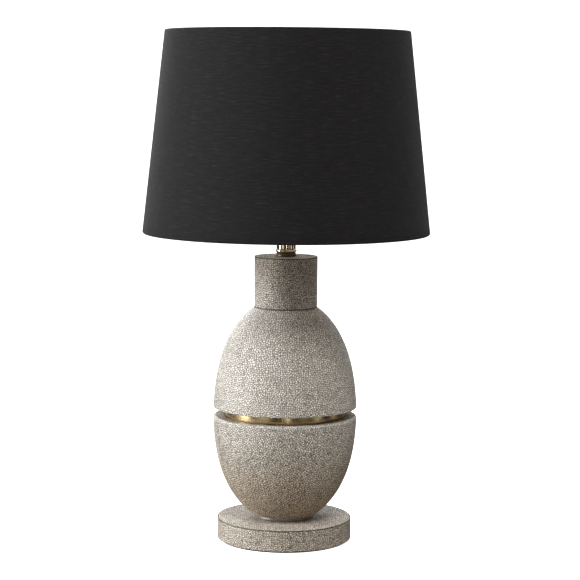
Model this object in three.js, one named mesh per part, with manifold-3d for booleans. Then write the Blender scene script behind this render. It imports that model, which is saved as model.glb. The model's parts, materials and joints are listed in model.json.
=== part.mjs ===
// Table lamp: a two-part turned body wrapped in shagreen, standing on a round
// base, under a tapered drum shade carried by a harp. Millimetres, +Z up, the
// origin at the middle of the underside. The harp lies in the XZ plane, the
// switch faces -Y and the cord inlet faces +Y.
import * as THREE from 'three';
import { mergeVertices } from 'three/addons/utils/BufferGeometryUtils.js';
import Module from 'manifold-3d';

const wasm = await Module();
wasm.setup();

const GAP = 0.3; // clearance between pieces that rest on each other
const BODY_STEPS = 28; // facets round the base, body and neck
const SHADE_STEPS = 36; // facets round the shade
const SMALL_STEPS = 12; // facets round the small hardware

// Heights of the main levels above the table
const PAD_TOP = 2;
const BASE_TOP = 32;
const BOWL_BOTTOM = 37;
const BOWL_TOP = 179.3;
const DOME_BOTTOM = 191.2;
const DOME_TOP = 333.7;
const NECK_TOP = 406.4;
const SADDLE_BOTTOM = 440;
const SHADE_BOTTOM = 438.9;
const SHADE_TOP = 723.2;

// Base
const BASE_RADIUS = 95.6;
const PAD_RADIUS = 92;
const SKIN = 1.5; // thickness of every shagreen covering
const RECESS_RADIUS = 72;
const RECESS_TOP = 20;
const INLET_HEIGHT = 11.5;
const INLET_BORE = 4.2;
const INLET_TUBE = 6.2;

// Body: each half follows a superellipse about its own widest level
const BOWL_CURVE = { radius: 102.6, level: 200, reach: 178.2, shoulder: 2.627, roundness: 1.919 };
const DOME_CURVE = { radius: 102.65, level: 164.8, reach: 182.1, shoulder: 2.441, roundness: 2.181 };
const CORE_WALL = 3.2;
const PLATE = 5; // thickness of the end plates that the rod passes through
const RIM_ROUND = 3.5;
const EDGE_ROUND = 1.8;
const LIP_RADIUS = 80; // inner edge of the lips that hold the brass band
const BAND_RADIUS = 86;
const BAND_WALL = 3;
const FOOT_RADIUS = 42;
const FOOT_BORE = 30;
const NECK_RADIUS = 44.7;
const NECK_WALL = 5;

// Lamp pipe and the brass pieces stacked on it
const ROD_RADIUS = 4.85;
const ROD_BORE = 3.4;
const ROD_HOLE = 5.3; // hole for the rod in every piece that it clamps
const ROD_BOTTOM = 7;
const ROD_TOP = 452;
const SEAT_RADIUS = 14.5;
const SEAT_TOP = 412.2;
const CHECK_RADIUS = 15.3;
const CHECK_TOP = 416.3;
const BRASS_NECK_RADIUS = 13.6;

// Lampholder for a 26 mm screw cap, and its bulb
const CAP_RADIUS = 17.1;
const SHELL_RADIUS = 16.1;
const INSULATOR_RADIUS = 15;
const HOLDER_RADIUS = 13.8;
const SHEET = 0.7; // thickness of the spun brass shells
const HOLDER_TOP = 474;
const SHELL_TOP = 499;
const SWITCH_HEIGHT = 467;
const SWITCH_SHAFT = 2.1;
const BULB_CAP_RADIUS = 12.9;
const BULB_CAP_BOTTOM = 480;
const BULB_CAP_TOP = 500;
const BULB_TOP = 584;
const BULB_RADIUS = 30;

// Harp and its saddle
const LEG_OFFSET = 27;
const PRONG_TOP = 458.3;
const SHOULDER = 449.5; // where the saddle narrows to its prongs
const WIRE = 2;
const BAIL_HALF_WIDTH = 54;
const BAIL_TOP = 688;
const FERRULE_LENGTH = 14;
const STUD_TOP = 706;
const STUD_RADIUS = 3.1;
const PLATFORM_TOP = 694;
const FINIAL_TOP = 719;

// Shade
const SHADE_BOTTOM_RADIUS = 203.2;
const SHADE_TOP_RADIUS = 172;
const FABRIC = 0.6;
const LINER = 0.7;
const FRAME_WIRE = 1.5;
const HEM = 4; // depth of the rolled edge behind the frame wire
const HUB_RADIUS = 13;
const ARM_COUNT = 3;

// Finishes
const FINISHES = {
  felt: { color: 0x1c1a19, roughness: 0.95, metalness: 0 },
  board: { color: 0x9a7b58, roughness: 0.8, metalness: 0 },
  resin: { color: 0xb9b3a6, roughness: 0.7, metalness: 0 },
  iron: { color: 0x3b3b3d, roughness: 0.7, metalness: 0.8 },
  shagreen: { color: 0xb4aa9c, roughness: 0.45, metalness: 0 },
  antiqueBrass: { color: 0xa2895a, roughness: 0.3, metalness: 1 },
  bronze: { color: 0x4a3f33, roughness: 0.5, metalness: 0.9 },
  nickel: { color: 0x8f8c82, roughness: 0.35, metalness: 1 },
  steel: { color: 0xa9abad, roughness: 0.35, metalness: 1 },
  phenolic: { color: 0x171412, roughness: 0.5, metalness: 0 },
  card: { color: 0x6f6250, roughness: 0.9, metalness: 0 },
  opal: { color: 0xf4f1ea, roughness: 0.25, metalness: 0 },
  blackFabric: { color: 0x2b2a2c, roughness: 0.9, metalness: 0 },
  whiteLiner: { color: 0xe9e6df, roughness: 0.7, metalness: 0 },
};

const lamp = new THREE.Group();

function addPiece(name, finish, geometry) {
  const mesh = new THREE.Mesh(geometry, new THREE.MeshStandardMaterial(FINISHES[finish]));
  mesh.name = name;
  lamp.add(mesh);
  return mesh;
}

// Turns a closed outline of [radius, height] points round the Z axis. The
// outline runs outwards along its bottom, then up, then back inwards.
function turned(outline, steps = BODY_STEPS) {
  const points = outline.map(([radius, height]) => new THREE.Vector2(radius, height));
  const first = points[0];
  if (first.x > 0) {
    points.push(first.clone());
  }
  const geometry = new THREE.LatheGeometry(points, steps);
  geometry.rotateX(Math.PI / 2);
  return geometry;
}

// A flat ring, or a tube when it is tall.
function ring(outer, inner, bottom, top, steps = BODY_STEPS) {
  return turned([[inner, bottom], [outer, bottom], [outer, top], [inner, top]], steps);
}

function disc(radius, bottom, top, steps = BODY_STEPS) {
  return turned([[0, bottom], [radius, bottom], [radius, top], [0, top]], steps);
}

// Sweeps an eight-sided section along a path.
function bentWire(path, radius, steps) {
  const section = new THREE.Shape();
  section.absarc(0, 0, radius, 0, 2 * Math.PI);
  const options = { steps, extrudePath: path, curveSegments: 4, bevelEnabled: false };
  return new THREE.ExtrudeGeometry(section, options);
}

function toSolid(geometry) {
  const bare = geometry.clone();
  bare.deleteAttribute('normal');
  bare.deleteAttribute('uv');
  const merged = mergeVertices(bare, 1e-4);
  return new wasm.Manifold(new wasm.Mesh({
    numProp: 3,
    vertProperties: merged.attributes.position.array,
    triVerts: new Uint32Array(merged.index.array),
  }));
}

function toGeometry(solid) {
  const { vertProperties, triVerts } = solid.getMesh();
  const geometry = new THREE.BufferGeometry();
  geometry.setAttribute('position', new THREE.BufferAttribute(vertProperties, 3));
  geometry.setIndex(new THREE.BufferAttribute(triVerts, 1));
  return geometry;
}

function cut(geometry, ...tools) {
  const whole = toSolid(geometry);
  return toGeometry(tools.reduce((left, tool) => left.subtract(toSolid(tool)), whole));
}

function joined(first, ...others) {
  return toGeometry(others.reduce((sum, other) => sum.add(toSolid(other)), toSolid(first)));
}

function box(xSize, ySize, zSize, x, y, z) {
  const geometry = new THREE.BoxGeometry(xSize, ySize, zSize);
  geometry.translate(x, y, z);
  return geometry;
}

// A cylinder lying along Y, between two values of y.
function crossPin(radius, from, to, height, steps = SMALL_STEPS) {
  const geometry = new THREE.CylinderGeometry(radius, radius, to - from, steps);
  geometry.translate(0, (from + to) / 2, height);
  return geometry;
}

function curveRadius(curve, height) {
  const away = Math.abs(height - curve.level) / curve.reach;
  return curve.radius * (1 - away ** curve.shoulder) ** (1 / curve.roundness);
}

// Points on a body curve, moved inwards by a distance at right angles to it.
// The points crowd towards the end where the curve bends most.
function insetCurve(curve, distance, start, end, count) {
  const points = [];
  for (let i = 0; i <= count; i += 1) {
    const height = start + (end - start) * (1 - Math.cos((i / count) * Math.PI / 2));
    const rise = 0.01;
    const slope = (curveRadius(curve, height + rise) - curveRadius(curve, height - rise)) / (2 * rise);
    const length = Math.hypot(1, slope);
    const radius = curveRadius(curve, height) - distance / length;
    points.push([radius, height + (distance * slope) / length]);
  }
  return points;
}

// A quarter turn between two directions, given in degrees from +radius.
function quarterTurn(radius, height, size, from, to, count) {
  const points = [];
  for (let i = 0; i <= count; i += 1) {
    const angle = THREE.MathUtils.degToRad(from + ((to - from) * i) / count);
    points.push([radius + size * Math.cos(angle), height + size * Math.sin(angle)]);
  }
  return points;
}

// Swaps top for bottom about a level, so that one recipe serves both halves.
function flipped(outline, level) {
  return outline.map(([radius, height]) => [radius, 2 * level - height]).reverse();
}

// The covering of one half of the body: up from its narrow end, round its rim
// and in over the lip, with a return under the narrow end. The same outline,
// upside down, covers the dome.
function skinOutline(curve, narrow, wide, round) {
  const rimRadius = curveRadius(curve, wide - round);
  const rimCentre = rimRadius - round;
  const inner = round - SKIN;
  return [
    [FOOT_BORE + 5, narrow],
    ...insetCurve(curve, 0, narrow, wide - round, 6),
    ...quarterTurn(rimCentre, wide - round, round, 30, 90, 2),
    [BAND_RADIUS + 1, wide],
    [BAND_RADIUS + 1, wide - SKIN],
    ...quarterTurn(rimCentre, wide - round, inner, 90, 0, 1),
    ...insetCurve(curve, SKIN, narrow, wide - round - 10, 5).slice(1).reverse(),
    [curveRadius(curve, narrow) - SKIN, narrow + SKIN],
    [FOOT_BORE + 5, narrow + SKIN],
  ];
}

// The hollow core inside that covering, with an end plate at its narrow end
// and a lip round its wide end.
function coreOutline(curve, narrow, wide, round) {
  const cover = SKIN + GAP;
  const bottom = narrow + cover;
  const top = wide - cover;
  const shoulder = curveRadius(curve, wide - round) - cover;
  const inside = insetCurve(curve, cover + CORE_WALL, narrow + PLATE + 4, top - PLATE, 4);
  return [
    [ROD_HOLE, bottom],
    [curveRadius(curve, narrow) - cover, bottom],
    ...insetCurve(curve, cover, narrow, wide - round - 10, 5).slice(1),
    [shoulder, wide - round],
    [shoulder - round + SKIN, top],
    [LIP_RADIUS, top],
    [LIP_RADIUS, top - PLATE],
    [shoulder - CORE_WALL, top - PLATE],
    ...inside.slice(0, -1).reverse(),
    [inside[0][0] - CORE_WALL, bottom + PLATE],
    [ROD_HOLE, bottom + PLATE],
  ];
}

function shadeRadius(height) {
  const share = (height - SHADE_BOTTOM) / (SHADE_TOP - SHADE_BOTTOM);
  return SHADE_BOTTOM_RADIUS + share * (SHADE_TOP_RADIUS - SHADE_BOTTOM_RADIUS);
}

function addBase() {
  const inletHole = crossPin(INLET_TUBE + GAP, RECESS_RADIUS - 4, BASE_RADIUS + 4, INLET_HEIGHT);
  const coreRadius = BASE_RADIUS - SKIN - GAP;
  const coreBottom = PAD_TOP + GAP;
  const coreTop = BASE_TOP - SKIN - GAP;
  addPiece('base_felt_pad', 'felt', disc(PAD_RADIUS, 0, PAD_TOP));
  addPiece('base_core', 'board', cut(turned([
    [RECESS_RADIUS, coreBottom],
    [coreRadius, coreBottom],
    [coreRadius, coreTop],
    [ROD_HOLE, coreTop],
    [ROD_HOLE, RECESS_TOP],
    [RECESS_RADIUS, RECESS_TOP],
  ]), inletHole));
  addPiece('base_weight', 'iron', weightGeometry());
  const sideBand = ring(BASE_RADIUS, BASE_RADIUS - SKIN, coreBottom, BASE_TOP);
  addPiece('base_side_band', 'shagreen', cut(sideBand, inletHole));
  addPiece('base_top_panel', 'shagreen', ring(coreRadius, ROD_HOLE, BASE_TOP - SKIN, BASE_TOP));
  addPiece('cord_grommet', 'phenolic', grommetGeometry());
}

// An iron disc with a slot from its rim to its bore, for the cord.
function weightGeometry() {
  const outer = RECESS_RADIUS - 3;
  const inner = 21;
  const halfSlot = 7;
  const outerStart = Math.PI / 2 + Math.asin(halfSlot / outer);
  const innerStart = Math.PI / 2 + Math.asin(halfSlot / inner);
  const outline = new THREE.Shape();
  outline.absarc(0, 0, outer, outerStart, 3 * Math.PI - outerStart, false);
  outline.absarc(0, 0, inner, 3 * Math.PI - innerStart, innerStart, true);
  const depth = RECESS_TOP - GAP - 5;
  const options = { depth, curveSegments: 20, bevelEnabled: false };
  const geometry = new THREE.ExtrudeGeometry(outline, options);
  geometry.translate(0, 0, RECESS_TOP - GAP - depth);
  return geometry;
}

// A bush with an outer flange, turned about its own axis and laid along Y.
function grommetGeometry() {
  const flange = 9;
  const back = RECESS_RADIUS - 2;
  const face = BASE_RADIUS + GAP;
  const geometry = turned([
    [INLET_BORE, back],
    [INLET_TUBE, back],
    [INLET_TUBE, face],
    [flange, face],
    [flange, face + 1.2],
    [flange - 1, face + 2.2],
    [INLET_BORE + 0.8, face + 2.2],
    [INLET_BORE, face + 1.4],
  ], SMALL_STEPS);
  geometry.rotateX(-Math.PI / 2);
  geometry.translate(0, 0, INLET_HEIGHT);
  return geometry;
}

function addBody() {
  addPiece('foot_ring', 'nickel', ring(FOOT_RADIUS, FOOT_BORE, BASE_TOP + GAP, BOWL_BOTTOM - GAP));
  const bowl = [BOWL_CURVE, BOWL_BOTTOM, BOWL_TOP, RIM_ROUND];
  addPiece('bowl_core', 'resin', turned(coreOutline(...bowl)));
  addPiece('bowl_skin', 'shagreen', turned(skinOutline(...bowl)));
  const band = ring(BAND_RADIUS, BAND_RADIUS - BAND_WALL, BOWL_TOP - SKIN, DOME_BOTTOM + SKIN);
  addPiece('brass_band', 'antiqueBrass', band);
  const mirrorCurve = { ...DOME_CURVE, level: -DOME_CURVE.level };
  const dome = [mirrorCurve, -DOME_TOP, -DOME_BOTTOM, EDGE_ROUND];
  addPiece('dome_core', 'resin', turned(flipped(coreOutline(...dome), 0)));
  addPiece('dome_skin', 'shagreen', turned(flipped(skinOutline(...dome), 0)));
}

function addNeck() {
  const bottom = DOME_TOP + GAP;
  const coreRadius = NECK_RADIUS - SKIN - GAP;
  const coreTop = NECK_TOP - SKIN - GAP;
  addPiece('neck_core', 'resin', turned([
    [coreRadius - NECK_WALL, bottom],
    [coreRadius, bottom],
    [coreRadius, coreTop],
    [ROD_HOLE, coreTop],
    [ROD_HOLE, coreTop - PLATE],
    [coreRadius - NECK_WALL, coreTop - PLATE],
  ]));
  addPiece('neck_side_band', 'shagreen', ring(NECK_RADIUS, NECK_RADIUS - SKIN, bottom, NECK_TOP));
  addPiece('neck_top_panel', 'shagreen', ring(coreRadius, ROD_HOLE, NECK_TOP - SKIN, NECK_TOP));
}

// The hollow rod clamps the whole stack between the nut in the base and the
// lampholder cap on top.
function addRodStack() {
  const washerBottom = 18;
  const nutBottom = 10.5;
  addPiece('threaded_rod', 'steel', ring(ROD_RADIUS, ROD_BORE, ROD_BOTTOM, ROD_TOP, 12));
  const washer = ring(14, ROD_HOLE, washerBottom, RECESS_TOP - GAP, SMALL_STEPS);
  addPiece('bottom_washer', 'steel', washer);
  addPiece('bottom_nut', 'steel', nutGeometry(9.5, nutBottom, washerBottom - GAP));
  const seat = ring(SEAT_RADIUS, ROD_HOLE, NECK_TOP + GAP, SEAT_TOP, 24);
  addPiece('neck_seat', 'bronze', seat);
  addPiece('check_ring', 'antiqueBrass', ring(CHECK_RADIUS, ROD_HOLE, SEAT_TOP + GAP, CHECK_TOP, 24));
  const neckBottom = CHECK_TOP + GAP;
  const neckTop = SADDLE_BOTTOM - GAP;
  addPiece('brass_neck', 'antiqueBrass', turned([
    [BRASS_NECK_RADIUS - 1, neckBottom],
    [BRASS_NECK_RADIUS, neckBottom],
    [BRASS_NECK_RADIUS, neckTop - 1],
    [BRASS_NECK_RADIUS - 1, neckTop],
    [ROD_HOLE, neckTop],
    [ROD_HOLE, neckTop - 2],
    [BRASS_NECK_RADIUS - 1, neckTop - 2],
  ], 24));
}

// A hexagon nut, sized across its flats.
function nutGeometry(halfFlats, bottom, top) {
  const corner = new THREE.Vector2(halfFlats / Math.cos(Math.PI / 6), 0);
  const centre = new THREE.Vector2();
  const corners = [0, 1, 2, 3, 4, 5].map((i) => corner.clone().rotateAround(centre, (i * Math.PI) / 3));
  const outline = new THREE.Shape(corners);
  const hole = new THREE.Path();
  hole.absarc(0, 0, ROD_HOLE, 0, 2 * Math.PI);
  outline.holes.push(hole);
  const options = { depth: top - bottom, curveSegments: 6, bevelEnabled: false };
  const geometry = new THREE.ExtrudeGeometry(outline, options);
  geometry.translate(0, 0, bottom);
  return geometry;
}

// The saddle is a strip with a round middle, turned up at both ends into
// shouldered prongs that the harp stands on.
function saddleGeometry() {
  const thick = 1.6;
  const stripWidth = 9;
  const prongWidth = 3;
  const middle = SADDLE_BOTTOM + thick / 2;
  const parts = [
    box(2 * LEG_OFFSET + thick, stripWidth, thick, 0, 0, middle),
    disc(12.5, SADDLE_BOTTOM, SADDLE_BOTTOM + thick, 24),
  ];
  for (const side of [-1, 1]) {
    const lower = SHOULDER - SADDLE_BOTTOM;
    const upper = PRONG_TOP - SADDLE_BOTTOM;
    const x = side * LEG_OFFSET;
    parts.push(box(thick, stripWidth - 2, lower, x, 0, SADDLE_BOTTOM + lower / 2));
    parts.push(box(thick, prongWidth, upper, x, 0, SADDLE_BOTTOM + upper / 2));
  }
  const hole = disc(ROD_HOLE, SADDLE_BOTTOM - 1, SADDLE_BOTTOM + thick + 1, 12);
  return cut(joined(...parts), hole);
}

function addLampholder() {
  const capBottom = SADDLE_BOTTOM + 1.6 + GAP;
  addPiece('harp_saddle', 'antiqueBrass', saddleGeometry());
  addPiece('socket_cap', 'antiqueBrass', turned([
    [ROD_HOLE, capBottom],
    [8, capBottom],
    [13.5, capBottom + 4.5],
    [CAP_RADIUS, capBottom + 12],
    [CAP_RADIUS, capBottom + 19],
    [CAP_RADIUS - SHEET, capBottom + 19],
    [CAP_RADIUS - SHEET, capBottom + 12.2],
    [13, capBottom + 5.4],
    [7.8, capBottom + 2],
    [ROD_HOLE, capBottom + 2],
  ], 20));
  const slotTool = switchSlot();
  const shellBottom = capBottom + 14;
  const shell = ring(SHELL_RADIUS, SHELL_RADIUS - SHEET, shellBottom, SHELL_TOP, 20);
  addPiece('socket_shell', 'antiqueBrass', cut(shell, slotTool));
  const sleeve = ring(INSULATOR_RADIUS, INSULATOR_RADIUS - 0.5, shellBottom + 2, SHELL_TOP - 1, 20);
  addPiece('socket_insulator', 'card', cut(sleeve, slotTool));
  addHolderBody(shellBottom);
  const threadTop = SHELL_TOP - 1.5;
  const thread = ring(HOLDER_RADIUS, HOLDER_RADIUS - 0.45, HOLDER_TOP + GAP, threadTop, 20);
  addPiece('screw_shell', 'antiqueBrass', thread);
  const contact = disc(4, HOLDER_TOP + GAP, HOLDER_TOP + 1.8, 12);
  addPiece('centre_contact', 'antiqueBrass', contact);
}

// The moulded body that holds the switch, stepped in below for the two wire
// terminals on its left and right.
function addHolderBody(bottom) {
  const waist = 11;
  const step = bottom + 8;
  const terminalHeight = bottom + 3.8;
  const holder = turned([
    [0, bottom],
    [waist, bottom],
    [waist, step],
    [HOLDER_RADIUS, step],
    [HOLDER_RADIUS, HOLDER_TOP],
    [0, HOLDER_TOP],
  ], 20);
  const shaftBore = crossPin(SWITCH_SHAFT + 0.5, -HOLDER_RADIUS - 1, -8, SWITCH_HEIGHT, 12);
  const terminals = [['brass', 1], ['silver', -1]];
  const bores = terminals.map(([, side]) => {
    const bore = crossPin(1.8, 6, waist + 1, 0, 8);
    bore.rotateZ(-side * Math.PI / 2);
    bore.translate(0, 0, terminalHeight);
    return bore;
  });
  addPiece('socket_body', 'phenolic', cut(holder, shaftBore, ...bores));
  for (const [label, side] of terminals) {
    const shank = crossPin(1.4, 7, waist + 1, 0, 8);
    const head = crossPin(3, waist + GAP, waist + 2, 0, 10);
    const finish = side > 0 ? 'antiqueBrass' : 'steel';
    const screw = addPiece(`terminal_screw_${label}`, finish, joined(shank, head));
    screw.rotation.z = -side * Math.PI / 2;
    screw.position.z = terminalHeight;
  }
}

// The slot that lets the switch shaft through the shell, open at the bottom so
// that the shell lifts off over the shaft.
function switchSlot() {
  const width = 2 * (SWITCH_SHAFT + 0.6);
  const bottom = SWITCH_HEIGHT - 20;
  const top = SWITCH_HEIGHT + SWITCH_SHAFT + 0.6;
  return box(width, 12, top - bottom, 0, -SHELL_RADIUS, (bottom + top) / 2);
}

function addSwitch() {
  const knobFront = -42;
  const knobBack = -29;
  const shaft = crossPin(SWITCH_SHAFT, knobBack - 6, -9, SWITCH_HEIGHT, 12);
  const knobBore = crossPin(SWITCH_SHAFT + GAP, knobBack - 6 - GAP, knobBack + 1, SWITCH_HEIGHT, 12);
  addPiece('switch_shaft', 'antiqueBrass', shaft);
  addPiece('switch_knob', 'phenolic', cut(crossPin(5.5, knobFront, knobBack, SWITCH_HEIGHT, 20), knobBore));
}

// An opal bulb: a glass envelope open at its neck, a screw cap and the contact
// at the cap's tip.
function addBulb() {
  const glassWall = 0.9;
  const ballLevel = BULB_TOP - BULB_RADIUS;
  const neckBottom = BULB_CAP_TOP + GAP;
  const neckRadius = BULB_CAP_RADIUS - 0.3;
  const ballArc = (radius, from, to) => quarterTurn(0, ballLevel, radius, from, to, 5);
  addPiece('bulb_glass', 'opal', turned([
    [neckRadius - glassWall, neckBottom],
    [neckRadius, neckBottom],
    [neckRadius + 2, neckBottom + 12],
    [neckRadius + 9, neckBottom + 28],
    ...ballArc(BULB_RADIUS, -25, 90),
    ...ballArc(BULB_RADIUS - glassWall, 90, -25),
    [neckRadius + 9 - glassWall, neckBottom + 28.5],
    [neckRadius + 2 - glassWall, neckBottom + 12.5],
  ], 24));
  addPiece('bulb_cap', 'steel', turned([
    [6, BULB_CAP_BOTTOM],
    [8, BULB_CAP_BOTTOM],
    [BULB_CAP_RADIUS, BULB_CAP_BOTTOM + 4],
    [BULB_CAP_RADIUS, BULB_CAP_TOP],
    [BULB_CAP_RADIUS - 0.6, BULB_CAP_TOP],
    [BULB_CAP_RADIUS - 0.6, BULB_CAP_BOTTOM + 4.3],
    [7.8, BULB_CAP_BOTTOM + 0.8],
    [6, BULB_CAP_BOTTOM + 0.8],
  ], 20));
  const tipBottom = HOLDER_TOP + 1.8 + GAP;
  addPiece('bulb_tip', 'phenolic', disc(5, tipBottom, BULB_CAP_BOTTOM - GAP, 12));
}

// One side of the harp: a straight foot, a swing out past the bulb and a swing
// back in to the flat top.
function bailPath() {
  const at = (x, z) => new THREE.Vector3(x, 0, z);
  const foot = PRONG_TOP + GAP;
  const legTop = 486;
  const swell = 560;
  const crown = 622;
  const flat = 11;
  const half = (side) => [
    new THREE.LineCurve3(at(side * LEG_OFFSET, foot), at(side * LEG_OFFSET, legTop)),
    new THREE.CubicBezierCurve3(
      at(side * LEG_OFFSET, legTop),
      at(side * LEG_OFFSET, legTop + 26),
      at(side * BAIL_HALF_WIDTH, swell - 30),
      at(side * BAIL_HALF_WIDTH, swell),
    ),
    new THREE.LineCurve3(at(side * BAIL_HALF_WIDTH, swell), at(side * BAIL_HALF_WIDTH, crown)),
    new THREE.CubicBezierCurve3(
      at(side * BAIL_HALF_WIDTH, crown),
      at(side * BAIL_HALF_WIDTH, crown + 42),
      at(side * (flat + 28), BAIL_TOP),
      at(side * flat, BAIL_TOP),
    ),
  ];
  const path = new THREE.CurvePath();
  half(-1).forEach((piece) => path.add(piece));
  path.add(new THREE.LineCurve3(at(-flat, BAIL_TOP), at(flat, BAIL_TOP)));
  half(1).reverse().forEach((piece) => path.add(reversed(piece)));
  return path;
}

function reversed(curve) {
  if (curve.isLineCurve3) {
    return new THREE.LineCurve3(curve.v2, curve.v1);
  }
  return new THREE.CubicBezierCurve3(curve.v3, curve.v2, curve.v1, curve.v0);
}

function addHarp() {
  addPiece('harp_bail', 'antiqueBrass', bentWire(bailPath(), WIRE, 40));
  addPiece('harp_stud', 'antiqueBrass', turned([
    [0, BAIL_TOP + WIRE + GAP],
    [8, BAIL_TOP + WIRE + GAP],
    [8, PLATFORM_TOP],
    [STUD_RADIUS, PLATFORM_TOP],
    [STUD_RADIUS, STUD_TOP],
    [0, STUD_TOP],
  ], SMALL_STEPS));
  const ferruleBottom = SHOULDER + GAP;
  const sides = [['left', -1], ['right', 1]];
  for (const [label, side] of sides) {
    const geometry = ring(3.6, WIRE + GAP, ferruleBottom, ferruleBottom + FERRULE_LENGTH, 12);
    const ferrule = addPiece(`harp_ferrule_${label}`, 'antiqueBrass', geometry);
    ferrule.position.x = side * LEG_OFFSET;
  }
}

function addFinial() {
  const bottom = PLATFORM_TOP + GAP + 2 + GAP;
  const bore = STUD_RADIUS + GAP;
  const boreTop = STUD_TOP + 1.5;
  const ball = 6.5;
  addPiece('finial', 'antiqueBrass', turned([
    [0, boreTop],
    [bore, boreTop],
    [bore, bottom],
    [7, bottom],
    [7, bottom + 3],
    [4.8, bottom + 5.5],
    [4.8, bottom + 8],
    ...quarterTurn(0, FINIAL_TOP - ball, ball, -35, 90, 5).slice(0, -1),
    [0, FINIAL_TOP],
  ], SMALL_STEPS));
}

// Fabric rolled over the frame wires at both ends of the shade.
function fabricOutline() {
  const fold = FABRIC + GAP + LINER + GAP + 2 * FRAME_WIRE + GAP;
  const at = (inset, height) => [shadeRadius(height) - inset, height];
  return [
    at(fold + FABRIC, SHADE_BOTTOM),
    at(0, SHADE_BOTTOM),
    at(0, SHADE_TOP),
    at(fold + FABRIC, SHADE_TOP),
    at(fold + FABRIC, SHADE_TOP - HEM),
    at(fold, SHADE_TOP - HEM),
    at(fold, SHADE_TOP - FABRIC),
    at(FABRIC, SHADE_TOP - FABRIC),
    at(FABRIC, SHADE_BOTTOM + FABRIC),
    at(fold, SHADE_BOTTOM + FABRIC),
    at(fold, SHADE_BOTTOM + HEM),
    at(fold + FABRIC, SHADE_BOTTOM + HEM),
  ];
}

function addShade() {
  const linerOut = FABRIC + GAP;
  const linerIn = linerOut + LINER;
  const wireIn = linerIn + GAP + FRAME_WIRE;
  const linerBottom = SHADE_BOTTOM + FABRIC + GAP;
  const linerTop = SHADE_TOP - FABRIC - GAP;
  const wireTop = linerTop - FRAME_WIRE;
  const wireBottom = linerBottom + FRAME_WIRE;
  addPiece('shade_fabric', 'blackFabric', turned(fabricOutline(), SHADE_STEPS));
  const at = (inset, height) => [shadeRadius(height) - inset, height];
  addPiece('shade_liner', 'whiteLiner', turned([
    at(linerIn, linerBottom),
    at(linerOut, linerBottom),
    at(linerOut, linerTop),
    at(linerIn, linerTop),
  ], SHADE_STEPS));
  for (const [name, level] of [['shade_top_ring', wireTop], ['shade_bottom_ring', wireBottom]]) {
    const hoop = new THREE.TorusGeometry(shadeRadius(level) - wireIn, FRAME_WIRE, 6, SHADE_STEPS);
    const mesh = addPiece(name, 'antiqueBrass', hoop);
    mesh.position.z = level;
  }
  addSpider(shadeRadius(wireTop) - wireIn, wireTop - FRAME_WIRE - GAP);
}

// The spider's washer rests on the harp, and its arms run out flat and turn up
// under the top wire.
function addSpider(legRadius, legTop) {
  const washerBottom = PLATFORM_TOP + GAP;
  const armLevel = washerBottom + 1;
  const bend = 12;
  addPiece('spider_hub', 'antiqueBrass', ring(HUB_RADIUS, 4.2, washerBottom, washerBottom + 2, SMALL_STEPS));
  const at = (x, z) => new THREE.Vector3(x, 0, z);
  const path = new THREE.CurvePath();
  path.add(new THREE.LineCurve3(at(HUB_RADIUS + GAP, armLevel), at(legRadius - bend, armLevel)));
  path.add(new THREE.QuadraticBezierCurve3(
    at(legRadius - bend, armLevel),
    at(legRadius, armLevel),
    at(legRadius, armLevel + bend),
  ));
  path.add(new THREE.LineCurve3(at(legRadius, armLevel + bend), at(legRadius, legTop)));
  for (let i = 0; i < ARM_COUNT; i += 1) {
    const arm = addPiece(`spider_arm_${i + 1}`, 'antiqueBrass', bentWire(path, FRAME_WIRE, 20));
    arm.rotation.z = Math.PI / 2 + (i * 2 * Math.PI) / ARM_COUNT;
  }
}

addBase();
addRodStack();
addBody();
addNeck();
addLampholder();
addSwitch();
addBulb();
addHarp();
addFinial();
addShade();

export default lamp;
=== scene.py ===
import json
import math

import bpy
from bpy.props import FloatProperty, FloatVectorProperty, IntProperty, PointerProperty
from mathutils import Euler, Matrix, Vector
from mathutils.kdtree import KDTree


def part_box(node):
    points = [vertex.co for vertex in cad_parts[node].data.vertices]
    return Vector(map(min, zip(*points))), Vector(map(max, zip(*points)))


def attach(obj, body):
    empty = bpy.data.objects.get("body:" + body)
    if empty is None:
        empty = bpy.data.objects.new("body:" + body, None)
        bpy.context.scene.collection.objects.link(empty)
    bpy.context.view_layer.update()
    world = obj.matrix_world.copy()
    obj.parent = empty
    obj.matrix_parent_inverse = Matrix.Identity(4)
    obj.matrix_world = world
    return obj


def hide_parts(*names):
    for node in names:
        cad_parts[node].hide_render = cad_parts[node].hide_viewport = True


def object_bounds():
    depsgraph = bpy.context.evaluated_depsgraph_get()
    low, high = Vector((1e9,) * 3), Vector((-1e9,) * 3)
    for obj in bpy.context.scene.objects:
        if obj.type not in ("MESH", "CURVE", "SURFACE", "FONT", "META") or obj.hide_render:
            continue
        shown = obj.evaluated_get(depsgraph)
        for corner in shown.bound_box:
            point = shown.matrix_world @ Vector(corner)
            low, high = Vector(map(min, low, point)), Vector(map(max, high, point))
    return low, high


bl_info = {
    "name": "Shagreen Table Lamp",
    "version": (1, 0, 0),
    "blender": (4, 5, 0),
    "location": "View3D > Sidebar > Lamp",
    "description": "Models and finishes a shagreen table lamp with a black drum shade",
    "category": "Object",
}

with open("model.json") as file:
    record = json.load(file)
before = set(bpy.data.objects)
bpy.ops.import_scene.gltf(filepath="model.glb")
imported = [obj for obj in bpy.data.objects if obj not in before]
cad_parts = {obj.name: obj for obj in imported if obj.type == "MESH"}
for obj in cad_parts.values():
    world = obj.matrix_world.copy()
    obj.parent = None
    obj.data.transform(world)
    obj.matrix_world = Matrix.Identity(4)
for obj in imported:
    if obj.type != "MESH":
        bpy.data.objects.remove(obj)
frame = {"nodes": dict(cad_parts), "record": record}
cad_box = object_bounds()

MM = 0.001
WELD = 0.002 * MM
SLOT_OF = {part["node"]: part["material_slot"] for part in frame["record"]["subparts"]}
AXLE = (0.0, 0.0, 1.0)


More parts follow.
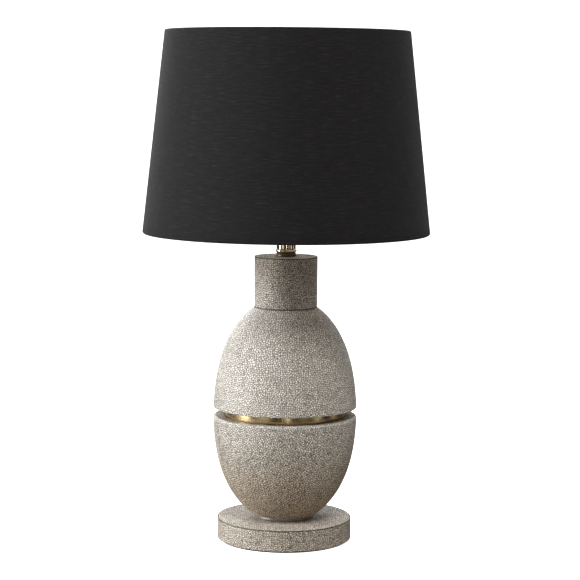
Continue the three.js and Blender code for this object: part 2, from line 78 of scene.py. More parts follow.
# Sizes and colours that a user may change


def colour_setting(name, description, colour):
    return FloatVectorProperty(
        name=name, description=description, subtype="COLOR", size=4, default=(*colour, 1.0)
    )


def length_setting(name, description, size, least):
    """A length, given in millimetres."""
    return FloatProperty(
        name=name, description=description, default=size * MM, min=least * MM, unit="LENGTH"
    )


class ShagreenSettings(bpy.types.PropertyGroup):
    bead_size: length_setting("Bead size", "Width of one bead of the skin", 2.9, 0.5)
    relief: length_setting("Relief", "Depth of the gaps between the beads", 0.28, 0.0)
    grid: length_setting("Mesh grid", "Length of one mesh face on the skin", 1.05, 0.5)
    bead: colour_setting("Bead", "Colour of the pale beads", (0.775, 0.735, 0.66))
    bead_grey: colour_setting("Greyer bead", "Colour of the greyer beads", (0.30, 0.275, 0.235))
    gap: colour_setting("Gap", "Colour of the gaps between the beads", (0.035, 0.027, 0.02))


class BrassSettings(bpy.types.PropertyGroup):
    antique: colour_setting("Antique brass", "Colour of the satin antique brass", (0.60, 0.47, 0.28))
    bright: colour_setting("Bright brass", "Colour of the polished brass", (0.78, 0.68, 0.50))
    tarnish: colour_setting("Tarnish", "Colour of the darkest tarnish", (0.20, 0.14, 0.075))


class ShadeSettings(bpy.types.PropertyGroup):
    cloth: colour_setting("Cloth", "Colour of the shade's threads", (0.0112, 0.0106, 0.0115))
    slub: colour_setting("Slub", "Colour of the thick threads", (0.0255, 0.0244, 0.0262))
    thread: length_setting("Thread", "Distance from one thread to the next", 0.6, 0.2)
    roll: length_setting("Rolled edge", "Radius of the cloth's roll over the frame wire", 2.3, 1.0)
    seam: length_setting("Seam", "Width of the lapped seam at the rear", 12.0, 4.0)


class StageSettings(bpy.types.PropertyGroup):
    lens: FloatProperty(name="Lens", description="Focal length of the camera", default=118.37)
    eye: FloatVectorProperty(
        name="Eye",
        description="Place of the camera",
        subtype="TRANSLATION",
        size=3,
        default=(0.0059, -2.6881, 0.6532),
    )
    pitch: FloatProperty(
        name="Pitch",
        description="Angle that the camera looks down",
        default=math.radians(6.266),
        subtype="ANGLE",
    )
    roll: FloatProperty(
        name="Roll",
        description="Turn of the camera about its own line of sight",
        default=math.radians(0.48),
        subtype="ANGLE",
    )
    steps: IntProperty(
        name="Steps", description="Faces round a small turned piece", default=72, min=24
    )


# Modelling helpers


def deselect_all():
    if bpy.context.object and bpy.context.object.mode != "OBJECT":
        bpy.ops.object.mode_set(mode="OBJECT")
    bpy.ops.object.select_all(action="DESELECT")


def pick(piece):
    deselect_all()
    piece.select_set(True)
    bpy.context.view_layer.objects.active = piece


def lathe(name, outline, steps):
    """Spin an outline of (radius, height) points round the lamp's axis.
    An eighth of a turn is spun, then doubled three times."""
    deselect_all()
    bpy.ops.mesh.primitive_plane_add(size=MM)
    piece = bpy.context.object
    piece.name = name
    bpy.ops.object.mode_set(mode="EDIT")
    bpy.ops.mesh.merge(type="CENTER")
    radius, height = outline[0]
    bpy.ops.transform.translate(value=(radius, 0, height))
    closing = outline[:1] if radius > WELD else []
    for stop in outline[1:] + closing:
        step = (stop[0] - radius, 0, stop[1] - height)
        bpy.ops.mesh.extrude_region_move(TRANSFORM_OT_translate={"value": step})
        radius, height = stop
    bpy.ops.mesh.select_all(action="SELECT")
    bpy.ops.mesh.remove_doubles(threshold=WELD)
    eighth = math.tau / 8
    bpy.ops.mesh.spin(steps=steps // 8, angle=eighth, center=(0, 0, 0), axis=AXLE)
    for turn in (eighth, 2 * eighth, 4 * eighth):
        bpy.ops.mesh.select_all(action="SELECT")
        bpy.ops.mesh.duplicate()
        bpy.ops.transform.rotate(value=turn, orient_axis="Z", center_override=(0, 0, 0))
    bpy.ops.mesh.select_all(action="SELECT")
    bpy.ops.mesh.remove_doubles(threshold=WELD)
    bpy.ops.mesh.normals_make_consistent(inside=False)
    bpy.ops.object.mode_set(mode="OBJECT")
    return piece


def square(inner, outer, low, high):
    """The outline of a plain ring, or of a disc if its inner radius is 0."""
    return [(inner, low), (outer, low), (outer, high), (inner, high)]


def eased(outline, radius, arc=3, closed=True):
    """Round the corners of an outline."""
    count = len(outline)
    rounded = []
    for index, corner in enumerate(outline):
        on_axis = corner[0] < WELD
        at_end = not closed and index in (0, count - 1)
        if on_axis or at_end:
            rounded.append(corner)
            continue
        here = Vector(corner)
        before = Vector(outline[index - 1])
        after = Vector(outline[(index + 1) % count])
        reach = min(radius, (before - here).length * 0.49, (after - here).length * 0.49)
        start = here + (before - here).normalized() * reach
        end = here + (after - here).normalized() * reach
        for step in range(arc + 1):
            share = step / arc
            near = start.lerp(here, share)
            far = here.lerp(end, share)
            rounded.append(tuple(near.lerp(far, share)))
    return rounded


def dense(outline, spacing):
    """Split the long runs of an open outline, so that the skin's relief has points to move."""
    points = [outline[0]]
    for start, end in zip(outline, outline[1:]):
        count = max(1, round(math.dist(start, end) / spacing))
        for step in range(1, count + 1):
            share = step / count
            points.append(tuple(Vector(start).lerp(Vector(end), share)))
    return points


def arc_points(radius, height, size, start, end, count):
    """Points on an arc of an outline, with its angles in degrees from the +radius direction."""
    points = []
    for index in range(count + 1):
        angle = math.radians(start + (end - start) * index / count)
        points.append((radius + size * math.cos(angle), height + size * math.sin(angle)))
    return points


def apply(piece, modifier):
    pick(piece)
    bpy.ops.object.modifier_apply(modifier=modifier.name)


def soften(piece, width, segments=2):
    """Bevel the sharp edges of a piece."""
    modifier = piece.modifiers.new("Soft edges", "BEVEL")
    modifier.width = width
    modifier.segments = segments
    modifier.limit_method = "ANGLE"
    modifier.angle_limit = math.radians(35)
    apply(piece, modifier)


def cut_away(piece, tool):
    """Take a tool's volume out of a piece and remove the tool."""
    modifier = piece.modifiers.new("Cut", "BOOLEAN")
    modifier.operation = "DIFFERENCE"
    modifier.object = tool
    apply(piece, modifier)
    bpy.data.objects.remove(tool)


def lay_along_y(piece, height):
    """Turn a piece made round the vertical axis so that its top faces +Y, and lift it to a height."""
    lay = Matrix.Rotation(math.radians(-90), 4, "X")
    piece.data.transform(Matrix.Translation((0, 0, height)) @ lay)


def thread(piece, pitch, depth, low, high, run_out):
    """Roll a right-hand screw thread into the wall of a piece between two heights."""
    for point in piece.data.vertices:
        radius = math.hypot(point.co.x, point.co.y)
        if radius < WELD or not low < point.co.z < high:
            continue
        fade = min(1.0, (point.co.z - low) / run_out, (high - point.co.z) / run_out)
        turn = math.atan2(point.co.y, point.co.x)
        wave = math.cos(math.tau * point.co.z / pitch - turn)
        grown = (radius + 0.5 * depth * fade * wave) / radius
        point.co.x *= grown
        point.co.y *= grown


def wire(name, points, radius, sides=4):
    """A round wire along a line of points, with closed ends."""
    deselect_all()
    line = bpy.data.curves.new(name, "CURVE")
    line.dimensions = "3D"
    line.bevel_depth = radius
    line.bevel_resolution = sides
    line.use_fill_caps = True
    spline = line.splines.new("POLY")
    spline.points.add(len(points) - 1)
    for place, point in zip(points, spline.points):
        point.co = (*place, 1)
    piece = bpy.data.objects.new(name, line)
    bpy.context.scene.collection.objects.link(piece)
    pick(piece)
    bpy.ops.object.convert(target="MESH")
    piece = bpy.context.object
    bpy.ops.object.mode_set(mode="EDIT")
    bpy.ops.mesh.select_all(action="SELECT")
    bpy.ops.mesh.remove_doubles(threshold=WELD)
    bpy.ops.mesh.normals_make_consistent(inside=False)
    bpy.ops.object.mode_set(mode="OBJECT")
    return piece


def bezier(start, first, second, end, count):
    """Points on a cubic curve, without its start."""
    points = []
    for step in range(1, count + 1):
        t = step / count
        s = 1 - t
        points.append(start * s**3 + first * 3 * s * s * t + second * 3 * s * t * t + end * t**3)
    return points


def copied(source, name, turn):
    """A copy with its own mesh, turned about the lamp's axis."""
    piece = source.copy()
    piece.data = source.data.copy()
    piece.name = name
    bpy.context.scene.collection.objects.link(piece)
    piece.data.transform(Matrix.Rotation(turn, 4, "Z"))
    return piece


def from_node(node, bevel):
    """A welded, softened copy of a CAD node, for flat pressed and moulded pieces."""
    source = frame["nodes"][node]
    piece = bpy.data.objects.new(node + "_made", source.data.copy())
    piece.data.materials.clear()
    bpy.context.scene.collection.objects.link(piece)
    pick(piece)
    bpy.ops.object.mode_set(mode="EDIT")
    bpy.ops.mesh.select_all(action="SELECT")
    bpy.ops.mesh.remove_doubles(threshold=10 * WELD)
    bpy.ops.mesh.dissolve_limited(angle_limit=math.radians(1))
    bpy.ops.object.mode_set(mode="OBJECT")
    soften(piece, bevel)
    return piece


def settle(piece, node, material=None, smooth=40):
    """Finish a piece that stands for a CAD node: its shading, its finish and the body it rides on."""
    pick(piece)
    bpy.ops.object.shade_smooth_by_angle(angle=math.radians(smooth))
    piece.data.materials.clear()
    piece.data.materials.append(finish(material or SLOT_OF[node]))
    bodies = frame["record"]["behaviour"]["bodies"]
    body = next(name for name, nodes in bodies.items() if node in nodes)
    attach(piece, body)
    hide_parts(node)
    return piece


# Node helpers


def put(tree, kind, inputs=None, **settings):
    """Add a node, with its inputs given as values or as sockets to link."""
    node = tree.nodes.new(kind)
    for name, value in settings.items():
        setattr(node, name, value)
    for name, value in (inputs or {}).items():
        if isinstance(value, bpy.types.NodeSocket):
            tree.links.new(value, node.inputs[name])
        else:
            node.inputs[name].default_value = value
    return node


def calc(tree, operation, *values):
    inputs = dict(enumerate(values))
    return put(tree, "ShaderNodeMath", inputs, operation=operation).outputs[0]


def stretch(tree, place, scale, turn=0.0):
    inputs = {"Vector": place, "Scale": scale, "Rotation": (0, 0, turn)}
    return put(tree, "ShaderNodeMapping", inputs).outputs[0]


def noise(tree, place, scale, detail=2.0, roughness=0.5):
    inputs = {"Vector": place, "Scale": scale, "Detail": detail, "Roughness": roughness}
    return put(tree, "ShaderNodeTexNoise", inputs).outputs[0]


def vector_calc(tree, operation, inputs):
    return put(tree, "ShaderNodeVectorMath", inputs, operation=operation).outputs[0]


def along(tree, place, axis):
    """One coordinate of a place."""
    return put(tree, "ShaderNodeSeparateXYZ", {"Vector": place}).outputs[axis]


def remap(tree, value, low, high, new_low=0.0, new_high=1.0, curve="SMOOTHSTEP"):
    inputs = {"Value": value, "From Min": low, "From Max": high}
    inputs |= {"To Min": new_low, "To Max": new_high}
    return put(tree, "ShaderNodeMapRange", inputs, interpolation_type=curve).outputs[0]


def blend(tree, share, first, second, mode="MIX"):
    node = put(tree, "ShaderNodeMix", data_type="RGBA", blend_type=mode)
    for socket, value in ((0, share), (6, first), (7, second)):
        if isinstance(value, bpy.types.NodeSocket):
            tree.links.new(value, node.inputs[socket])
        else:
            node.inputs[socket].default_value = value
    return node.outputs[2]


def bump(tree, height, distance, strength=1.0, normal=None):
    inputs = {"Height": height, "Distance": distance, "Strength": strength}
    if normal is not None:
        inputs["Normal"] = normal
    return put(tree, "ShaderNodeBump", inputs).outputs[0]


def blank(name, roughness=0.5, metallic=0.0):
    """A new material, its tree, its shader and the object's own coordinates."""
    material = bpy.data.materials.new(name)
    material.use_nodes = True
    tree = material.node_tree
    shader = tree.nodes["Principled BSDF"]
    shader.inputs["Roughness"].default_value = roughness
    shader.inputs["Metallic"].default_value = metallic
    place = tree.nodes.new("ShaderNodeTexCoord").outputs["Object"]
    return material, tree, shader, place


def paint(tree, shader, **sockets):
    names = {"colour": "Base Color", "roughness": "Roughness", "normal": "Normal"}
    for name, socket in sockets.items():
        tree.links.new(socket, shader.inputs[names[name]])


# Finishes


def bead_field(tree, place):
    """The skin's cells: the way in from a cell's edge, out from its middle, and its colour."""
    size = bpy.context.scene.lamp_shagreen.bead_size
    wander = put(tree, "ShaderNodeTexNoise", {"Vector": place, "Scale": 0.35 / size, "Detail": 1.0})
    push = vector_calc(tree, "SUBTRACT", {0: wander.outputs["Color"], 1: (0.5, 0.5, 0.5)})
    push = vector_calc(tree, "SCALE", {0: push, "Scale": 0.6 * size})
    moved = vector_calc(tree, "ADD", {0: place, 1: push})
    inputs = {"Vector": moved, "Scale": 1.0 / size, "Randomness": 0.9}
    flat = {"voronoi_dimensions": "2D"}
    edge = put(tree, "ShaderNodeTexVoronoi", inputs, feature="DISTANCE_TO_EDGE", **flat)
    cell = put(tree, "ShaderNodeTexVoronoi", inputs, feature="F1", **flat)
    return edge.outputs["Distance"], cell.outputs["Distance"], cell.outputs["Color"]


def make_shagreen(
    name,
    seam_turn=None,
    joints=(),
    tint_and_shade_band=(0.185, 0.045),
    tint=(1.0, 0.82, 0.65, 1.0),
    pitting=0.8,
):
    """Polished ray skin: pale beads in dark gaps, dark at its seam and along given lines: skin joints,
    and on the neck a painted shadow line at its foot.
    The tint comes in from the first height of the tint band to the second: by default a painted shade
    that darkens and browns the bowl towards its bottom, on the neck a painted shadow of the shade, and
    over the base a flat tint."""
    skin = bpy.context.scene.lamp_shagreen
    material, tree, shader, place = blank(name)
    hide = put(tree, "ShaderNodeAttribute", attribute_name="hide").outputs["Vector"]
    edge, middle, cell = bead_field(tree, hide)
    corner = remap(tree, middle, 0.50, 0.75, 0.0, 0.75)
    crack = remap(tree, edge, 0.04, 0.24, 0.97, 0.0)
    pit = remap(tree, noise(tree, place, 520.0, 1.0), 0.50, 0.64, 0.0, pitting)
    dark = calc(tree, "MAXIMUM", calc(tree, "MAXIMUM", corner, crack), pit)
    bead = calc(tree, "SUBTRACT", 1.0, dark)
    tone = put(tree, "ShaderNodeSeparateColor", {"Color": cell}).outputs[0]
    patch = remap(tree, noise(tree, place, 30.0, 3.0), 0.35, 0.65, 0.0, 0.15)
    greyness = calc(tree, "MULTIPLY_ADD", calc(tree, "POWER", tone, 2.5), 0.42, patch)
    colour = blend(tree, greyness, tuple(skin.bead), tuple(skin.bead_grey))
    colour = blend(tree, bead, tuple(skin.gap), colour)
    height = along(tree, place, 2)
    # Painted shade: the tint band darkens and browns the bowl towards its bottom and the neck towards
    # its top; over the base it is a flat tint.
    tint_and_shade_share = remap(tree, height, tint_and_shade_band[1], tint_and_shade_band[0], 1.0, 0.0)
    cloud = remap(tree, noise(tree, place, 9.0, 2.0), 0.3, 0.7, 0.75, 1.0)
    colour = blend(tree, calc(tree, "MULTIPLY", tint_and_shade_share, cloud), colour, tint, "MULTIPLY")
    if seam_turn is not None:
        faced = stretch(tree, place, (1, 1, 1), -seam_turn)
        away = calc(tree, "ABSOLUTE", along(tree, faced, 1))
        line = remap(tree, away, 0.3 * MM, 0.9 * MM, 0.8, 0.0)
        near = calc(tree, "GREATER_THAN", along(tree, faced, 0), 0.0)
        colour = blend(tree, calc(tree, "MULTIPLY", line, near), colour, tuple(skin.gap))
    # Dark lines at given heights: seams of the skin, and on the neck a painted shadow line at its foot.
    for level in joints:
        away = calc(tree, "ABSOLUTE", calc(tree, "SUBTRACT", height, level))
        line = remap(tree, away, 0.4 * MM, 1.0 * MM, 0.95, 0.0)
        colour = blend(tree, line, colour, tuple(skin.gap))
    dome = remap(tree, edge, 0.0, 0.36)
    normal = bump(tree, dome, 0.3 * MM, 0.6)
    roughness = remap(tree, bead, 0.0, 1.0, 0.75, 0.42, "LINEAR")
    paint(tree, shader, colour=colour, roughness=roughness, normal=normal)
    return material


def make_brushed_metal(name, colour, tarnish, roughness, depth=0.02 * MM, age=0.2):
    """Metal with fine brush lines round it and cloudy tarnish."""
    material, tree, shader, place = blank(name, roughness, 1.0)
    lines = noise(tree, stretch(tree, place, (25, 25, 1800)), 1.0, 4.0, 0.6)
    cloud = noise(tree, place, 60.0, 4.0, 0.6)
    dirt = calc(tree, "MULTIPLY", remap(tree, cloud, 0.42, 0.75), age)
    shade = blend(tree, remap(tree, lines, 0.3, 0.7, 0.0, 0.25), tuple(colour), tuple(tarnish))
    shade = blend(tree, dirt, shade, tuple(tarnish))
    rough = calc(tree, "ADD", remap(tree, lines, 0.2, 0.8, -0.05, 0.07), roughness)
    rough = calc(tree, "ADD", rough, calc(tree, "MULTIPLY", dirt, 0.25))
    normal = bump(tree, lines, depth, 0.5)
    paint(tree, shader, colour=shade, roughness=rough, normal=normal)
    return material


def make_plain(name, colour, second, scale, roughness, metallic=0.0, depth=0.05 * MM):
    """A plain material with mottled colour, uneven gloss and a fine grain."""
    material, tree, shader, place = blank(name, roughness, metallic)
    mottle = noise(tree, place, scale, 4.0, 0.6)
    grain = noise(tree, place, scale * 12, 2.0)
    shade = blend(tree, remap(tree, mottle, 0.3, 0.7), colour, second)
    rough = calc(tree, "ADD", remap(tree, mottle, 0.2, 0.8, -0.06, 0.08), roughness)
    normal = bump(tree, grain, depth, 0.6)
    paint(tree, shader, colour=shade, roughness=rough, normal=normal)
    return material


def make_felt(name):
    """Pressed black felt with short matted fibres."""
    material, tree, shader, place = blank(name, 0.95)
    fibres = noise(tree, stretch(tree, place, (1, 1, 6)), 1400.0, 6.0, 0.8)
    shade = blend(tree, fibres, (0.008, 0.008, 0.008, 1), (0.045, 0.042, 0.04, 1))
    paint(tree, shader, colour=shade, normal=bump(tree, fibres, 0.4 * MM, 0.8))
    shader.inputs["Sheen Weight"].default_value = 0.3
    return material


def make_shade_cloth(name):
    """Fine black slub weave: weft threads run round the shade and warp threads up it."""
    cloth = bpy.context.scene.lamp_shade
    material, tree, shader, _ = blank(name, 0.85)
    grain = put(tree, "ShaderNodeUVMap", uv_map="grain").outputs[0]
    pitch = 1.0 / cloth.thread
    wobble = noise(tree, stretch(tree, grain, (60, 60, 1)), 1.0, 2.0)
    rows = []
    for axis in (0, 1):
        bent = calc(tree, "MULTIPLY_ADD", wobble, 0.8 * cloth.thread, along(tree, grain, axis))
        phase = calc(tree, "MULTIPLY", bent, pitch * math.tau)
        rows.append(calc(tree, "SINE", phase))
    checks = calc(tree, "MULTIPLY", rows[0], rows[1])
    weft = noise(tree, stretch(tree, grain, (42, 950, 1)), 1.0, 3.0, 0.6)
    warp = noise(tree, stretch(tree, grain, (700, 60, 1)), 1.0, 2.0, 0.5)
    streak = remap(tree, weft, 0.5, 0.72)
    post = remap(tree, warp, 0.55, 0.8, 0.0, 0.5)
    lift = calc(tree, "MAXIMUM", streak, post)
    shade = blend(tree, lift, tuple(cloth.cloth), tuple(cloth.slub))
    weave = remap(tree, checks, -1.0, 1.0, 0.0, 0.35, "LINEAR")
    shade = blend(tree, weave, shade, (0.004, 0.004, 0.0045, 1))
    height = calc(tree, "MULTIPLY_ADD", checks, 0.5, calc(tree, "MULTIPLY", lift, 0.8))
    paint(tree, shader, colour=shade, normal=bump(tree, height, 0.12 * MM, 0.7))
    shader.inputs["Sheen Weight"].default_value = 0.04
    shader.inputs["Sheen Roughness"].default_value = 0.5
    shader.inputs["Specular IOR Level"].default_value = 0.06
    return material


def make_opal(name):
    """Frosted opal glass, a little warmer towards its neck."""
    material, tree, shader, place = blank(name, 0.3)
    height = along(tree, place, 2)
    low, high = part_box("bulb_glass")
    warmth = remap(tree, height, low.z, high.z)
    shade = blend(tree, warmth, (0.80, 0.77, 0.71, 1), (0.90, 0.89, 0.87, 1))
    frost = noise(tree, place, 2600.0, 3.0)
    paint(tree, shader, colour=shade, normal=bump(tree, frost, 0.01 * MM, 0.5))
    shader.inputs["Subsurface Weight"].default_value = 0.3
    shader.inputs["Subsurface Radius"].default_value = (0.004, 0.004, 0.003)
    return material


# The colours of a metal and its tarnish, and its roughness
METALS = {
    "bronze": ((0.10, 0.075, 0.05, 1), (0.03, 0.02, 0.015, 1), 0.42),
    "nickel": ((0.30, 0.285, 0.25, 1), (0.12, 0.11, 0.09, 1), 0.38),
    "steel": ((0.60, 0.61, 0.62, 1), (0.35, 0.34, 0.30, 1), 0.3),
    "bulb_metal": ((0.66, 0.66, 0.66, 1), (0.4, 0.39, 0.37, 1), 0.22),
}

# Two colours, the mottle's scale, the roughness, then how metallic and the grain's depth
PLAINS = {
    "iron": ((0.05, 0.05, 0.055, 1), (0.11, 0.08, 0.06, 1), 90, 0.6, 0.7, 0.4 * MM),
    "board": ((0.36, 0.25, 0.15, 1), (0.26, 0.17, 0.09, 1), 240, 0.8, 0.0, 0.2 * MM),
    "resin": ((0.50, 0.48, 0.43, 1), (0.42, 0.40, 0.35, 1), 40, 0.55),
    "card": ((0.19, 0.145, 0.10, 1), (0.13, 0.095, 0.06, 1), 300, 0.9, 0.0, 0.1 * MM),
    "phenolic": ((0.018, 0.016, 0.015, 1), (0.03, 0.026, 0.022, 1), 150, 0.38),
    "white_liner": ((0.80, 0.78, 0.73, 1), (0.74, 0.71, 0.65, 1), 12, 0.5),
}

# The tint band covers the whole base: a flat tint of the base's skin.
BASE_FLAT_TINT_BAND = (0.06, 0.035)


def finish(name):
    """The material of a finish, made when it is first asked for."""
    label = name + "_finish"
    made = bpy.data.materials.get(label)
    if made:
        return made
    if name in METALS:
        return make_brushed_metal(label, *METALS[name])
    if name in PLAINS:
        return make_plain(label, *PLAINS[name])
    skin = make_shagreen
    metal = make_brushed_metal
    brass = bpy.context.scene.lamp_brass
    recipes = {
        "shagreen": lambda: skin(label),
        # The bowl's skin takes the default tint band: painted shade, darker and browner towards its
        # bottom.
        "shagreen_bowl": lambda: skin(label, BOWL_SEAM),
        "shagreen_dome": lambda: skin(label, DOME_SEAM, pitting=0.65),
        "shagreen_base": lambda: skin(label, None, BASE_JOINTS, BASE_FLAT_TINT_BAND, (0.93, 0.87, 0.80, 1)),
        "shagreen_base_top": lambda: skin(label, None, (), BASE_FLAT_TINT_BAND, (0.98, 0.94, 0.90, 1)),
        # The neck's darker tint is a painted shadow of the shade, darkest at the neck's top.
        "shagreen_neck": lambda: skin(label, None, NECK_SEAM_AND_SHADOW_LINES, NECK_SHADOW_BAND, (0.68, 0.62, 0.56, 1)),
        "antique_brass": lambda: metal(label, brass.antique, brass.tarnish, 0.24),
        "band_brass": lambda: metal(label, (0.60, 0.445, 0.235, 1), brass.tarnish, 0.27, age=0.08),
        "bright_brass": lambda: metal(label, brass.bright, brass.antique, 0.13, depth=0.005 * MM),
        "black_fabric": lambda: make_shade_cloth(label),
        "opal_glass": lambda: make_opal(label),
        "felt": lambda: make_felt(label),
    }
    return recipes[name]()


def lay_hide(piece, outline, spread, start, seam=math.pi / 2, flow=1):
    """Store where each point of a turned piece lies on its flat skin, in metres.
    The skin opens out like a cone that keeps a share, the spread, of the full turn.
    A spread of 0 is a plain strip."""
    tree = KDTree(len(outline))
    reaches = []
    reach = start
    for index, (radius, height) in enumerate(outline):
        if index:
            reach += flow * math.dist(outline[index - 1], outline[index])
        reaches.append(reach)
        tree.insert((radius, 0, height), index)
    tree.balance()
    girth = max(radius for radius, _ in outline)
    layer = piece.data.attributes.new("hide", "FLOAT_VECTOR", "POINT")
    for point, spot in zip(piece.data.vertices, layer.data):
        x, y, z = point.co
        reach = reaches[tree.find((math.hypot(x, y), 0, z))[1]]
        turn = (math.atan2(y, x) - seam) % math.tau - math.pi
        if spread:
            spot.vector = (reach * math.cos(spread * turn), reach * math.sin(spread * turn), 0)
        else:
            spot.vector = (turn * girth, reach, 0)


def bead_relief():
    """Geometry nodes that sink the gaps between the beads into a mesh."""
    made = bpy.data.node_groups.get("Bead relief")
    if made:
        return made
    tree = bpy.data.node_groups.new("Bead relief", "GeometryNodeTree")
    tree.interface.new_socket("Geometry", in_out="INPUT", socket_type="NodeSocketGeometry")
    tree.interface.new_socket("Geometry", in_out="OUTPUT", socket_type="NodeSocketGeometry")
    start = tree.nodes.new("NodeGroupInput").outputs[0]
    end = tree.nodes.new("NodeGroupOutput").inputs[0]
    named = {"Name": "hide"}
    hide = put(tree, "GeometryNodeInputNamedAttribute", named, data_type="FLOAT_VECTOR").outputs[0]
    outward = tree.nodes.new("GeometryNodeInputNormal").outputs[0]
    edge, _, _ = bead_field(tree, hide)
    sunk = remap(tree, edge, 0.0, 0.3, -bpy.context.scene.lamp_shagreen.relief, 0.0)
    offset = vector_calc(tree, "SCALE", {0: outward, "Scale": sunk})
    moved = put(tree, "GeometryNodeSetPosition", {"Geometry": start, "Offset": offset}).outputs[0]
    tree.links.new(moved, end)
    return tree


def pebble(piece):
    modifier = piece.modifiers.new("Beads", "NODES")
    modifier.node_group = bead_relief()
    apply(piece, modifier)


# Pieces


def half_body(curve, height):
    """Radius of one half of the body at a height."""
    away = abs(height - curve["level"]) / curve["reach"]
    return curve["radius"] * (1 - away ** curve["shoulder"]) ** (1 / curve["roundness"])


BOWL_CURVE = dict(radius=0.1026, level=0.200, reach=0.1782, shoulder=2.627, roundness=1.919)
DOME_CURVE = dict(radius=0.10265, level=0.1648, reach=0.1821, shoulder=2.441, roundness=2.181)
SKIN = 1.5 * MM
SKIN_STEPS = 560
BOWL_SEAM = math.radians(203.5)
DOME_SEAM = math.radians(90)
CONE_SPREAD = 0.4
BASE_JOINTS = (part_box("base_side_band")[1].z - 0.8 * MM,)
NECK_LOW, NECK_HIGH = (corner.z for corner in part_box("neck_side_band"))
# Dark lines on the neck: the upper one is the seam at its top edge; the lower one is a painted shadow in
# the crevice where the neck meets the dome.
NECK_SEAM_AND_SHADOW_LINES = (NECK_LOW + 0.6 * MM, NECK_HIGH - 0.8 * MM)
# Painted shadow of the shade: the neck's skin darkens towards its top, from 5 cm below the neck up to
# its top edge.
NECK_SHADOW_BAND = (NECK_LOW - 0.05, NECK_HIGH)
BULB_THREAD = 3.63 * MM
BULB_THREAD_DEPTH = 0.7 * MM


def half_skin(name, curve, narrow, wide, edge_round, lip, seam):
    """One half's covering: its narrow end turned under, its side, its rounded rim and its lip turned in.
    Upwards is from the narrow end to the wide one, whichever way up the half stands."""
    grid = bpy.context.scene.lamp_shagreen.grid
    way = 1 if wide > narrow else -1
    rim_level = wide - way * edge_round
    rim = half_body(curve, rim_level)
    end = half_body(curve, narrow)
    foot = end - 10 * MM
    side = []
    reach = abs(rim_level - narrow)
    count = round(1.12 * reach / grid)
    for index in range(count + 1):
        share = index / count
        height = narrow + way * reach * (0.45 * share + 0.55 * share * share)
        side.append((half_body(curve, height), height))
    corner = arc_points(rim - edge_round, 0, edge_round, 0, 90, 5)[1:]
    corner = [(radius, rim_level + way * rise) for radius, rise in corner]
    shown = [(foot, narrow), *side, *corner]
    shown += dense([corner[-1], (lip, wide)], grid)[1:]
    inside = [
        (lip, wide - way * SKIN),
        (rim - edge_round, wide - way * SKIN),
        (rim - SKIN, rim_level),
    ]
    for share in (0.75, 0.5, 0.3, 0.15, 0.05):
        height = narrow + way * reach * share
        slanted = SKIN / (0.55 + 0.45 * share**0.4)
        inside.append((half_body(curve, height) - slanted, height + way * SKIN * 0.4))
    inside.append((foot, narrow + way * SKIN))
    piece = lathe(name, shown + inside, SKIN_STEPS)
    lay_hide(piece, shown + inside, CONE_SPREAD, end / CONE_SPREAD - (end - foot), seam)
    pebble(piece)
    return piece


class LAMP_OT_frame_finishes(bpy.types.Operator):
    """Give every piece of the frame the finish of its slot"""

    bl_idname = "lamp.frame_finishes"
    bl_label = "Frame finishes"

    def execute(self, context):
        for name, node in frame["nodes"].items():
            node.data.materials.clear()
            node.data.materials.append(finish(SLOT_OF[name]))
        return {"FINISHED"}


class LAMP_OT_base(bpy.types.Operator):
    """Make the felt pad, the two skins of the base and the cord's bush"""

    bl_idname = "lamp.base"
    bl_label = "Base"

    def execute(self, context):
        grid = context.scene.lamp_shagreen.grid
        low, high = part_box("base_felt_pad")
        pad = square(0, high.x, low.z, high.z)
        settle(lathe("felt_pad", eased(pad, 0.6 * MM), 180), "base_felt_pad")

        low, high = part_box("base_side_band")
        inner = high.x - SKIN
        shown = square(inner, high.x, low.z, high.z)
        shown = dense(eased(shown, 0.6 * MM, closed=False), grid)
        side = lathe("base_side_skin", shown, SKIN_STEPS)
        grommet_low, grommet_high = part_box("cord_grommet")
        bush_height = (grommet_low.z + grommet_high.z) / 2
        deselect_all()
        bpy.ops.mesh.primitive_cylinder_add(
            vertices=48,
            radius=6.5 * MM,
            depth=20 * MM,
            location=(0, high.x, bush_height),
            rotation=(math.radians(90), 0, 0),
        )
        cut_away(side, bpy.context.object)
        lay_hide(side, shown, 0, 0)
        pebble(side)
        settle(side, "base_side_band", "shagreen_base", 180)

        low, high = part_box("base_top_panel")
        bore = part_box("threaded_rod")[1].x + 0.4 * MM
        shown = eased([(high.x, low.z), (high.x, high.z), (bore, high.z)], 0.7 * MM, closed=False)
        shown = [*dense(shown, grid * 1.15), (bore, low.z)]
        top = lathe("base_top_skin", shown, SKIN_STEPS)
        lay_hide(top, shown, 1, high.x, flow=-1)
        pebble(top)
        settle(top, "base_top_panel", "shagreen_base_top", 180)

        bore = 4.2 * MM
        tube = 6.2 * MM
        flange = (grommet_high.x - grommet_low.x) / 2
        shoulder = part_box("base_side_band")[1].x + 0.3 * MM
        outline = [
            (bore, grommet_low.y),
            (tube, grommet_low.y),
            (tube, shoulder),
            (flange, shoulder),
            (flange, grommet_high.y),
            (bore, grommet_high.y),
        ]
        bush = lathe("cord_bush", eased(outline, 0.9 * MM), 48)
        lay_along_y(bush, bush_height)
        settle(bush, "cord_grommet")
        return {"FINISHED"}


